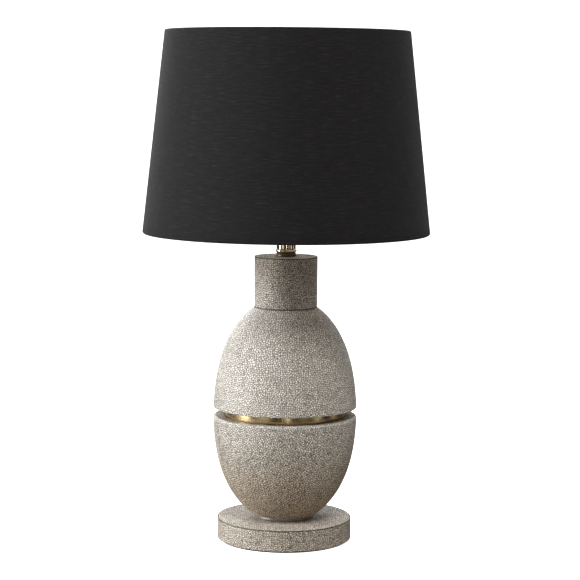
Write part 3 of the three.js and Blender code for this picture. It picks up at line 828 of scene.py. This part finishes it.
class LAMP_OT_body(bpy.types.Operator):
    """Make the bowl, the dome, the brass band between them and the ring they stand on"""

    bl_idname = "lamp.body"
    bl_label = "Body"

    def execute(self, context):
        low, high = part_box("foot_ring")
        bore = high.x - 12 * MM
        outline = square(bore, high.x, low.z, high.z)
        settle(lathe("foot_spacer", eased(outline, 0.8 * MM), 144), "foot_ring")

        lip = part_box("brass_band")[1].x + 1.0 * MM
        low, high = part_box("bowl_skin")
        bowl = half_skin("bowl_shagreen", BOWL_CURVE, low.z, high.z, 3.0 * MM, lip, BOWL_SEAM)
        settle(bowl, "bowl_skin", "shagreen_bowl", 180)
        low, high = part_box("dome_skin")
        dome = half_skin("dome_shagreen", DOME_CURVE, high.z, low.z, 1.5 * MM, lip, DOME_SEAM)
        settle(dome, "dome_skin", "shagreen_dome", 180)

        low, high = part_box("brass_band")
        inner = high.x - 3 * MM
        outline = square(inner, high.x, low.z, high.z)
        settle(lathe("waist_band", eased(outline, 0.5 * MM), 240), "brass_band", "band_brass")
        return {"FINISHED"}


class LAMP_OT_neck(bpy.types.Operator):
    """Make the two skins of the neck and the brass stack on it"""

    bl_idname = "lamp.neck"
    bl_label = "Neck"

    def execute(self, context):
        grid = context.scene.lamp_shagreen.grid
        steps = context.scene.lamp_stage.steps
        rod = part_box("threaded_rod")[1].x + 0.45 * MM
        low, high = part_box("neck_side_band")
        inner = high.x - SKIN
        shown = square(inner, high.x, low.z, high.z)
        shown = dense(eased(shown, 0.6 * MM, closed=False), grid)
        side = lathe("neck_side_skin", shown, SKIN_STEPS // 2)
        lay_hide(side, shown, 0, 0)
        pebble(side)
        settle(side, "neck_side_band", "shagreen_neck", 180)

        low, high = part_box("neck_top_panel")
        shown = eased([(high.x, low.z), (high.x, high.z), (rod, high.z)], 0.7 * MM, closed=False)
        shown = [*dense(shown, grid), (rod, low.z)]
        top = lathe("neck_top_skin", shown, SKIN_STEPS // 2)
        lay_hide(top, shown, 1, high.x, flow=-1)
        pebble(top)
        settle(top, "neck_top_panel", "shagreen", 180)

        low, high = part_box("neck_seat")
        outline = [
            (rod, low.z),
            (high.x, low.z),
            (high.x, low.z + 2 * MM),
            (high.x - 1.2 * MM, high.z),
            (rod, high.z),
        ]
        settle(lathe("bronze_seat", eased(outline, 0.7 * MM), steps), "neck_seat")
        low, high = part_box("check_ring")
        bead = (high.z - low.z) / 2
        rim = arc_points(high.x - bead, low.z + bead, bead, -90, 90, 10)
        ring = lathe("brass_check_ring", [(rod, low.z), *rim, (rod, high.z)], steps)
        settle(ring, "check_ring", "bright_brass")
        low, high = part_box("brass_neck")
        wall = high.x - 1.0 * MM
        outline = [
            (wall, low.z),
            (high.x, low.z),
            (high.x, high.z),
            (rod, high.z),
            (rod, high.z - 2 * MM),
            (wall, high.z - 2 * MM),
        ]
        settle(lathe("brass_neck_tube", eased(outline, 0.8 * MM), steps), "brass_neck", "bright_brass")
        return {"FINISHED"}


class LAMP_OT_lampholder(bpy.types.Operator):
    """Make the saddle and the shells of the lampholder"""

    bl_idname = "lamp.lampholder"
    bl_label = "Lampholder"

    def execute(self, context):
        steps = context.scene.lamp_stage.steps
        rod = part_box("threaded_rod")[1].x + 0.45 * MM
        settle(from_node("harp_saddle", 0.25 * MM), "harp_saddle")
        settle(from_node("socket_body", 0.3 * MM), "socket_body")
        for label in ("brass", "silver"):
            settle(from_node("terminal_screw_" + label, 0.2 * MM), "terminal_screw_" + label)

        sheet = 0.7 * MM
        low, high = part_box("socket_cap")
        outer = [
            (rod, low.z),
            (8 * MM, low.z),
            (9 * MM, low.z + 1.5 * MM),
            (14 * MM, low.z + 5 * MM),
            (high.x, low.z + 11.5 * MM),
            (high.x, high.z),
        ]
        inner = [
            (high.x - sheet, high.z),
            (high.x - sheet, low.z + 12 * MM),
            (13.4 * MM, low.z + 5.8 * MM),
            (8 * MM, low.z + 2.4 * MM),
            (rod, low.z + 2.2 * MM),
        ]
        settle(lathe("lampholder_cap", eased(outer + inner, 1.0 * MM), steps), "socket_cap")

        switch_low, switch_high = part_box("switch_shaft")
        slot_top = switch_high.z + 0.6 * MM
        for node, name, wall in (
            ("socket_shell", "lampholder_shell", sheet),
            ("socket_insulator", "lampholder_sleeve", 0.5 * MM),
        ):
            low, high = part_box(node)
            bead = 0.5 * MM if node == "socket_shell" else 0.0
            face = high.x - bead
            outer = [(face, low.z), (face, high.z - 5 * MM)]
            if bead:
                inner = face - wall + 0.1 * MM
                outer += arc_points(face, high.z - 4 * MM, bead, -90, 90, 6)
                outer += [(face, high.z - 1.2 * MM), (high.x, high.z)]
                outer += [(high.x - wall, high.z), (inner, high.z - 1.4 * MM)]
            else:
                inner = high.x - wall
                outer += [(high.x, high.z), (inner, high.z)]
            shell = lathe(name, [(inner, low.z), *outer], steps)
            deselect_all()
            slot_foot = low.z - 2 * MM
            middle = (0, -high.x, (slot_top + slot_foot) / 2)
            bpy.ops.mesh.primitive_cube_add(size=1, location=middle)
            tool = bpy.context.object
            tool.scale = (2 * (switch_high.x + 0.6 * MM), 8 * MM, slot_top - slot_foot)
            bpy.ops.object.transform_apply(location=True, rotation=False, scale=True)
            cut_away(shell, tool)
            settle(shell, node)

        low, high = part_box("screw_shell")
        wall = 0.45 * MM
        outer = dense([(high.x, low.z), (high.x, high.z)], 0.4 * MM)
        inner = dense([(high.x - wall, high.z), (high.x - wall, low.z)], 0.4 * MM)
        holder = lathe("threaded_holder", outer + inner, steps)
        thread(holder, BULB_THREAD, BULB_THREAD_DEPTH, low.z + 1 * MM, high.z, 2 * MM)
        settle(holder, "screw_shell")

        low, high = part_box("centre_contact")
        outline = [(0, low.z), (high.x, low.z), (high.x, low.z + 0.5 * MM)]
        outline += [(2 * MM, high.z), (0, high.z)]
        settle(lathe("spring_contact", eased(outline, 0.4 * MM), 32), "centre_contact")
        return {"FINISHED"}


class LAMP_OT_switch(bpy.types.Operator):
    """Make the turn switch's shaft and its ribbed knob"""

    bl_idname = "lamp.switch"
    bl_label = "Switch"

    def execute(self, context):
        low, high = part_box("switch_shaft")
        height = (low.z + high.z) / 2
        outline = square(0, high.x, low.y, high.y)
        shaft = lathe("switch_spindle", eased(outline, 0.4 * MM), 32)
        lay_along_y(shaft, height)
        settle(shaft, "switch_shaft")

        knob_low, knob_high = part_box("switch_knob")
        radius = knob_high.x
        bore = high.x + 0.3 * MM
        outline = [
            (0, knob_low.y),
            (radius - 1 * MM, knob_low.y),
            (radius, knob_low.y + 1.5 * MM),
            (radius, knob_high.y - 2.5 * MM),
            (radius - 1.5 * MM, knob_high.y),
            (bore, knob_high.y),
            (bore, low.y - 0.3 * MM),
            (0, low.y - 0.3 * MM),
        ]
        knob = lathe("switch_key", eased(outline, 0.6 * MM), 144)
        ribs = 18
        for point in knob.data.vertices:
            reach = math.hypot(point.co.x, point.co.y)
            if reach > radius - 1.2 * MM:
                turn = math.atan2(point.co.y, point.co.x)
                grown = 1 - 0.35 * MM * (0.5 + 0.5 * math.cos(ribs * turn)) / reach
                point.co.x *= grown
                point.co.y *= grown
        lay_along_y(knob, height)
        settle(knob, "switch_knob")
        return {"FINISHED"}


class LAMP_OT_bulb(bpy.types.Operator):
    """Make the opal bulb, its rolled screw cap and its tip"""

    bl_idname = "lamp.bulb"
    bl_label = "Bulb"

    def execute(self, context):
        low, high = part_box("bulb_glass")
        ball = high.x
        centre = high.z - ball
        neck = 12.6 * MM
        wall = 0.8 * MM
        outer = []
        for step in range(25):
            share = step / 24
            radius = neck + (ball - neck) * math.sin(share * math.pi / 2) ** 1.6
            outer.append((radius, low.z + (centre - low.z) * share))
        outer += arc_points(0, centre, ball, 0, 90, 24)[1:-1]
        inner = [(max(radius - wall, 0), height - wall * 0.2) for radius, height in outer[:0:-1]]
        outline = [*outer, (WELD * 2, high.z), *inner, (neck - wall, low.z)]
        glass = lathe("opal_envelope", outline, 96)
        settle(glass, "bulb_glass", None, 60)

        low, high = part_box("bulb_cap")
        side = dense([(high.x, low.z + 4 * MM), (high.x, high.z)], 0.4 * MM)
        back = high.x - 0.5 * MM
        inside = dense([(back, high.z), (back, low.z + 4.3 * MM)], 0.4 * MM)
        outline = [
            (6 * MM, low.z),
            (8 * MM, low.z),
            *side,
            *inside,
            (7.8 * MM, low.z + 0.8 * MM),
            (6 * MM, low.z + 0.8 * MM),
        ]
        cap = lathe("bulb_screw_cap", outline, 72)
        thread(cap, BULB_THREAD, BULB_THREAD_DEPTH, low.z + 3 * MM, high.z - 3 * MM, 2 * MM)
        settle(cap, "bulb_cap")

        low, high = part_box("bulb_tip")
        outline = [
            (0, low.z),
            (3.2 * MM, low.z + 0.4 * MM),
            (3.6 * MM, low.z + 1.2 * MM),
            (high.x, high.z - 1 * MM),
            (high.x, high.z),
            (0, high.z),
        ]
        settle(lathe("bulb_tip_contact", eased(outline, 0.5 * MM), 40), "bulb_tip")
        return {"FINISHED"}


class LAMP_OT_harp(bpy.types.Operator):
    """Make the harp's bent bail, its stud and the collars on its feet"""

    bl_idname = "lamp.harp"
    bl_label = "Harp"

    def execute(self, context):
        low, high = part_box("harp_bail")
        radius = (high.y - low.y) / 2
        foot = 27 * MM
        half = high.x - radius
        top = high.z - radius
        leg_top = 486 * MM
        swell = 560 * MM
        crown = 622 * MM
        flat = 11 * MM

        def spot(x, z):
            return Vector((x, 0, z))

        right = [spot(foot, low.z)]
        right += [spot(foot, low.z + (leg_top - low.z) * step / 6) for step in range(1, 7)]
        bend = (spot(foot, leg_top + 26 * MM), spot(half, swell - 30 * MM), spot(half, swell))
        right += bezier(right[-1], *bend, 20)
        right += [spot(half, swell + (crown - swell) * step / 4) for step in range(1, 5)]
        bend = (spot(half, crown + 42 * MM), spot(flat + 28 * MM, top), spot(flat, top))
        right += bezier(right[-1], *bend, 24)
        right += [spot(flat * 0.66, top), spot(flat * 0.33, top), spot(0, top)]
        left = [spot(-place.x, place.z) for place in right[:-1]]
        bail = wire("harp_loop", left + right[::-1], radius)
        for point in bail.data.vertices:
            away = abs(point.co.x)
            if point.co.z > top - radius * 1.5 and away < 1.6 * flat:
                share = min(1.0, max(0.0, (1.6 * flat - away) / (0.6 * flat)))
                point.co.y *= 1 + 0.9 * share
                point.co.z = top + (point.co.z - top) * (1 - 0.4 * share)
        settle(bail, "harp_bail")

        low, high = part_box("harp_stud")
        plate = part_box("spider_hub")[0].z - 0.3 * MM
        pin = 3.1 * MM
        shank = dense([(pin, plate), (pin, high.z - 0.6 * MM)], 0.16 * MM)
        outline = [(0, low.z), (high.x - 0.6 * MM, low.z), (high.x, low.z + 0.6 * MM)]
        outline += [(high.x, plate - 0.5 * MM), (high.x - 0.5 * MM, plate), *shank]
        outline += [(pin - 0.6 * MM, high.z), (0, high.z)]
        stud = lathe("harp_post", outline, 40)
        thread(stud, 0.94 * MM, 0.45 * MM, plate + 2 * MM, high.z - 0.5 * MM, 1 * MM)
        settle(stud, "harp_stud")

        for label, side in (("left", -1), ("right", 1)):
            node = "harp_ferrule_" + label
            low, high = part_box(node)
            outer = (high.x - low.x) / 2
            inner = 2.3 * MM
            outline = [
                (inner, low.z),
                (outer, low.z),
                (outer, low.z + 1.6 * MM),
                (outer - 0.5 * MM, low.z + 2.2 * MM),
                (outer - 0.5 * MM, high.z - 3 * MM),
                (inner + 0.2 * MM, high.z),
                (inner, high.z),
            ]
            collar = lathe("harp_collar_" + label, eased(outline, 0.5 * MM), 40)
            collar.data.transform(Matrix.Translation((side * foot, 0, 0)))
            settle(collar, node)
        return {"FINISHED"}


class LAMP_OT_finial(bpy.types.Operator):
    """Make the turned brass finial"""

    bl_idname = "lamp.finial"
    bl_label = "Finial"

    def execute(self, context):
        low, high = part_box("finial")
        ball = 6.5 * MM
        centre = high.z - ball
        bore = 3.4 * MM
        outline = [(0, low.z + 11 * MM), (bore, low.z + 11 * MM), (bore, low.z)]
        base = [(high.x, low.z), (high.x, low.z + 1.8 * MM), (high.x - 1.2 * MM, low.z + 2.6 * MM)]
        waist = [(4.4 * MM, low.z + 5 * MM), (4.2 * MM, low.z + 7.5 * MM), (5.4 * MM, low.z + 8.4 * MM)]
        waist += [(5.4 * MM, low.z + 9.2 * MM), (4.4 * MM, low.z + 10 * MM)]
        profile = [(bore, low.z), *base, *waist, (4.4 * MM, low.z + 11 * MM)]
        outline += eased(profile, 0.5 * MM, closed=False)[1:]
        outline += arc_points(0, centre, ball, -44, 90, 24)[:-1] + [(0, high.z)]
        settle(lathe("finial_knob", outline, 64), "finial", "bright_brass")
        return {"FINISHED"}


class LAMP_OT_spider(bpy.types.Operator):
    """Make the shade's washer and its three arms"""

    bl_idname = "lamp.spider"
    bl_label = "Shade spider"

    def execute(self, context):
        low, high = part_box("spider_hub")
        bore = 4.2 * MM
        outline = square(bore, high.x, low.z, high.z)
        settle(lathe("spider_washer", eased(outline, 0.6 * MM), 72), "spider_hub")

        level = (low.z + high.z) / 2
        start = high.x - 1.5 * MM
        arm_low, arm_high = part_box("spider_arm_1")
        radius = arm_high.x
        leg = arm_high.y - radius
        bend = 12 * MM
        path = [Vector((0, start + (leg - bend - start) * step / 8, level)) for step in range(9)]
        corner = Vector((0, leg - bend, level + bend))
        for step in range(1, 13):
            angle = math.radians(90 * step / 12)
            path.append(corner + Vector((0, math.sin(angle), -math.cos(angle))) * bend)
        rise = arm_high.z - level - bend
        path += [Vector((0, leg, level + bend + rise * step / 3)) for step in range(1, 4)]
        first = wire("spider_rod_1", path, radius)
        arms = [first]
        for index in (1, 2):
            arms.append(copied(first, f"spider_rod_{index + 1}", math.tau * index / 3))
        for index, arm in enumerate(arms):
            settle(arm, f"spider_arm_{index + 1}")
        return {"FINISHED"}


SHADE_LOW, SHADE_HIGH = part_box("shade_fabric")
SHADE_TOP_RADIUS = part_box("shade_top_ring")[1].x + 1.64 * MM


def shade_line(height):
    """Radius of the outside of the shade's cloth at a height."""
    share = (height - SHADE_LOW.z) / (SHADE_HIGH.z - SHADE_LOW.z)
    return SHADE_HIGH.x + share * (SHADE_TOP_RADIUS - SHADE_HIGH.x)


class LAMP_OT_shade_cover(bpy.types.Operator):
    """Make the shade's cloth, rolled over its wires, and the white backing inside it"""

    bl_idname = "lamp.shade_cover"
    bl_label = "Shade cover"

    def execute(self, context):
        cloth = context.scene.lamp_shade
        low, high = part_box("shade_fabric")
        thick = 0.55 * MM
        roll = cloth.roll
        hem = 4 * MM

        def at(inset, height):
            return (shade_line(height) - inset, height)

        def rolled(edge, way, radius):
            """A roll from the outside round to the inside, at the end of the shade at a height."""
            centre = at(roll, edge - way * roll)
            turns = arc_points(0, 0, radius, 0, 180, 12)
            return [(centre[0] + x, centre[1] + way * y) for x, y in turns]

        bottom_outer = rolled(low.z, -1, roll)
        top_outer = rolled(high.z, 1, roll)
        bottom_inner = rolled(low.z, -1, roll - thick)
        top_inner = rolled(high.z, 1, roll - thick)
        rows = 24
        reach = high.z - low.z - 2 * roll
        side = [at(0, low.z + roll + reach * row / rows) for row in range(1, rows)]
        back = [(radius - thick, height) for radius, height in side[::-1]]
        top_hem = high.z - roll - hem
        bottom_hem = low.z + roll + hem
        outline = [*bottom_outer[::-1], *side, *top_outer]
        outline += [at(2 * roll, top_hem), at(2 * roll - thick, top_hem)]
        outline += [*top_inner[::-1], *back, *bottom_inner]
        outline += [at(2 * roll - thick, bottom_hem), at(2 * roll, bottom_hem)]
        cover = lathe("shade_cloth", outline, 720)
        lap = cloth.seam / 2
        for point in cover.data.vertices:
            radius = math.hypot(point.co.x, point.co.y)
            outside = radius > shade_line(point.co.z) - 0.6 * thick
            if point.co.y > 0 and abs(point.co.x) < lap and outside:
                grown = 1 + 0.45 * MM / radius
                point.co.x *= grown
                point.co.y *= grown
        lay_grain(cover)
        settle(cover, "shade_fabric", None, 50)
        for node, name, edge, way in (
            ("shade_top_ring", "shade_top_wire", high.z, 1),
            ("shade_bottom_ring", "shade_bottom_wire", low.z, -1),
        ):
            radius, level = at(roll, edge - way * roll)
            turns = arc_points(radius, level, roll - thick - 0.1 * MM, 0, 360, 16)[:-1]
            settle(lathe(name, turns, 288), node, None, 180)
        liner_low, liner_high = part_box("shade_liner")
        inset = 0.9 * MM
        wall = 0.7 * MM
        outline = [at(inset + wall, liner_low.z), at(inset, liner_low.z)]
        outline += [at(inset, liner_high.z), at(inset + wall, liner_high.z)]
        liner = lathe("shade_backing", eased(outline, 0.2 * MM), 288)
        settle(liner, "shade_liner", None, 30)

        return {"FINISHED"}


def lay_grain(piece):
    """Write a UV map in metres for the cloth: round the shade from its front, and up it."""
    mesh = piece.data
    while mesh.uv_layers:
        mesh.uv_layers.remove(mesh.uv_layers[0])
    layer = mesh.uv_layers.new(name="grain")
    mean = shade_line((cad_box[0][2] + cad_box[1][2]) / 2)
    for face in mesh.polygons:
        middle = math.atan2(face.center.x, -face.center.y)
        for corner in face.loop_indices:
            spot = mesh.vertices[mesh.loops[corner].vertex_index].co
            turn = math.atan2(spot.x, -spot.y) - middle
            turn = (turn + math.pi) % math.tau - math.pi
            layer.data[corner].uv = ((middle + turn) * mean, spot.z)


class LAMP_OT_hidden_metal(bpy.types.Operator):
    """Soften the nut, the washer and the weight inside the base"""

    bl_idname = "lamp.hidden_metal"
    bl_label = "Hidden metal"

    def execute(self, context):
        for node, width in (("bottom_nut", 0.5), ("bottom_washer", 0.3), ("base_weight", 1.2)):
            settle(from_node(node, width * MM), node)
        return {"FINISHED"}


# Stage


def aim(place, target):
    return (Vector(target) - Vector(place)).to_track_quat("-Z", "Y").to_euler()


def hide_from(piece, *rays):
    for ray in rays:
        setattr(piece, "visible_" + ray, False)


def glow(shader, colour, strength):
    shader.inputs["Emission Color"].default_value = (*colour, 1)
    shader.inputs["Emission Strength"].default_value = strength


def softbox(name, place, target, width, height, watts, colour=(1, 1, 1)):
    light = bpy.data.lights.new(name, "AREA")
    light.shape = "RECTANGLE"
    light.size = width
    light.size_y = height
    light.energy = watts
    light.color = colour
    lamp = bpy.data.objects.new(name, light)
    lamp.location = place
    lamp.rotation_euler = aim(place, target)
    hide_from(lamp, "camera")
    bpy.context.scene.collection.objects.link(lamp)


# Name, turn in degrees from the front, width in metres, glow
STRIPS = (
    ("strip_left", -80, 0.60, 6.5),
    ("strip_near_left", -40, 1.30, 0.9),
    ("strip_front", 5, 0.22, 4.5),
    ("strip_near_right", 35, 0.80, 0.4),
    ("strip_right", 64, 0.45, 1.6),
    ("strip_far_right", 104, 0.40, 1.2),
)


def strip(name, turn, width, strength):
    """An upright glowing card that shows only in the brass."""
    angle = math.radians(turn - 90)
    place = (3.0 * math.cos(angle), 3.0 * math.sin(angle), 0.5)
    bpy.ops.mesh.primitive_plane_add(size=1, location=place)
    card = bpy.context.object
    card.name = name
    card.scale = (width, 1.9, 1)
    card.rotation_euler = aim(place, (0, 0, 0.5))
    material, _, shader, _ = blank(name + "_card", 1.0)
    shader.inputs["Base Color"].default_value = (0, 0, 0, 1)
    glow(shader, (1.0, 0.97, 0.92), strength)
    card.data.materials.append(material)
    hide_from(card, "camera", "diffuse", "shadow")


class LAMP_OT_stage(bpy.types.Operator):
    """Lay the floor and set the camera and the lights"""

    bl_idname = "lamp.stage"
    bl_label = "Stage"

    def execute(self, context):
        stage = context.scene.lamp_stage
        camera = bpy.data.cameras.new("Camera")
        camera.lens = stage.lens
        eye = bpy.data.objects.new("Camera", camera)
        tilt = Euler((math.pi / 2 - stage.pitch, 0, 0)).to_matrix()
        eye.rotation_euler = (tilt @ Matrix.Rotation(stage.roll, 3, "Z")).to_euler()
        eye.location = stage.eye
        context.scene.collection.objects.link(eye)
        context.scene.camera = eye

        deselect_all()
        bpy.ops.mesh.primitive_circle_add(vertices=96, radius=9.0, fill_type="NGON")
        floor = context.object
        floor.name = "floor"
        material, tree, shader, place = blank("floor_paper", 0.8)
        tone = noise(tree, place, 1.5, 2.0)
        paper = blend(tree, tone, (0.93, 0.93, 0.93, 1), (0.96, 0.96, 0.96, 1))
        paint(tree, shader, colour=paper)
        glow(shader, (1, 1, 1), 0.95)
        floor.data.materials.append(material)
        hide_from(floor, "diffuse", "glossy")

        bpy.ops.mesh.primitive_plane_add(size=1, location=(0, 5, 3), rotation=(math.pi / 2, 0, 0))
        card = context.object
        card.name = "backdrop"
        card.scale = (12, 6.2, 1)
        material, _, shader, _ = blank("backdrop_paper", 1.0)
        shader.inputs["Base Color"].default_value = (1, 1, 1, 1)
        glow(shader, (1, 1, 1), 1.0)
        card.data.materials.append(material)
        hide_from(card, "diffuse")

        deselect_all()
        bpy.ops.mesh.primitive_cylinder_add(
            vertices=96, radius=8.5, depth=9.0, end_fill_type="NOTHING", location=(0, 0, 4.5)
        )
        surround = context.object
        surround.name = "surround"
        surround.data.materials.append(material)
        hide_from(surround, "diffuse", "glossy", "transmission", "shadow")

        target = (0, 0, 0.33)
        softbox("key_left", (-2.4, -0.3, 0.9), target, 1.0, 1.3, 92, (0.97, 0.985, 1.0))
        softbox("fill_front", (0.1, -1.8, 2.6), target, 1.1, 1.1, 77, (1.0, 0.99, 0.975))
        softbox("fill_right", (2.3, -1.2, 1.7), target, 0.8, 0.8, 5, (1.0, 0.80, 0.62))
        softbox("fill_back", (-1.4, 2.5, 1.5), target, 1.2, 1.2, 50)
        for settings in STRIPS:
            strip(*settings)
        world = bpy.data.worlds.new("studio")
        context.scene.world = world
        world.use_nodes = True
        sky = world.node_tree.nodes["Background"]
        sky.inputs["Color"].default_value = (1.0, 0.965, 0.92, 1)
        sky.inputs["Strength"].default_value = 0.38
        world.cycles_visibility.glossy = False
        context.scene.view_settings.view_transform = "Standard"
        return {"FINISHED"}


PIECE_OPERATORS = (
    LAMP_OT_frame_finishes,
    LAMP_OT_base,
    LAMP_OT_body,
    LAMP_OT_neck,
    LAMP_OT_lampholder,
    LAMP_OT_switch,
    LAMP_OT_bulb,
    LAMP_OT_harp,
    LAMP_OT_finial,
    LAMP_OT_spider,
    LAMP_OT_shade_cover,
    LAMP_OT_hidden_metal,
)
SETTINGS = {
    "lamp_shagreen": ShagreenSettings,
    "lamp_brass": BrassSettings,
    "lamp_shade": ShadeSettings,
    "lamp_stage": StageSettings,
}


class LAMP_PT_panel(bpy.types.Panel):
    """The lamp's settings and the operators that make its pieces"""

    bl_idname = "LAMP_PT_panel"
    bl_label = "Table lamp"
    bl_space_type = "VIEW_3D"
    bl_region_type = "UI"
    bl_category = "Lamp"

    def draw(self, context):
        for name, group in SETTINGS.items():
            box = self.layout.box()
            for setting in group.__annotations__:
                box.prop(getattr(context.scene, name), setting)
        for operator in (LAMP_OT_stage, *PIECE_OPERATORS):
            self.layout.operator(operator.bl_idname)


CLASSES = (*SETTINGS.values(), LAMP_OT_stage, *PIECE_OPERATORS, LAMP_PT_panel)


def register():
    for cls in CLASSES:
        bpy.utils.register_class(cls)
    for name, group in SETTINGS.items():
        setattr(bpy.types.Scene, name, PointerProperty(type=group))


def unregister():
    for name in SETTINGS:
        delattr(bpy.types.Scene, name)
    for cls in reversed(CLASSES):
        bpy.utils.unregister_class(cls)


def main():
    register()
    bpy.ops.lamp.stage()
    for operator in PIECE_OPERATORS:
        group, action = operator.bl_idname.split(".")
        getattr(getattr(bpy.ops, group), action)()


if __name__ == "__main__":
    main()
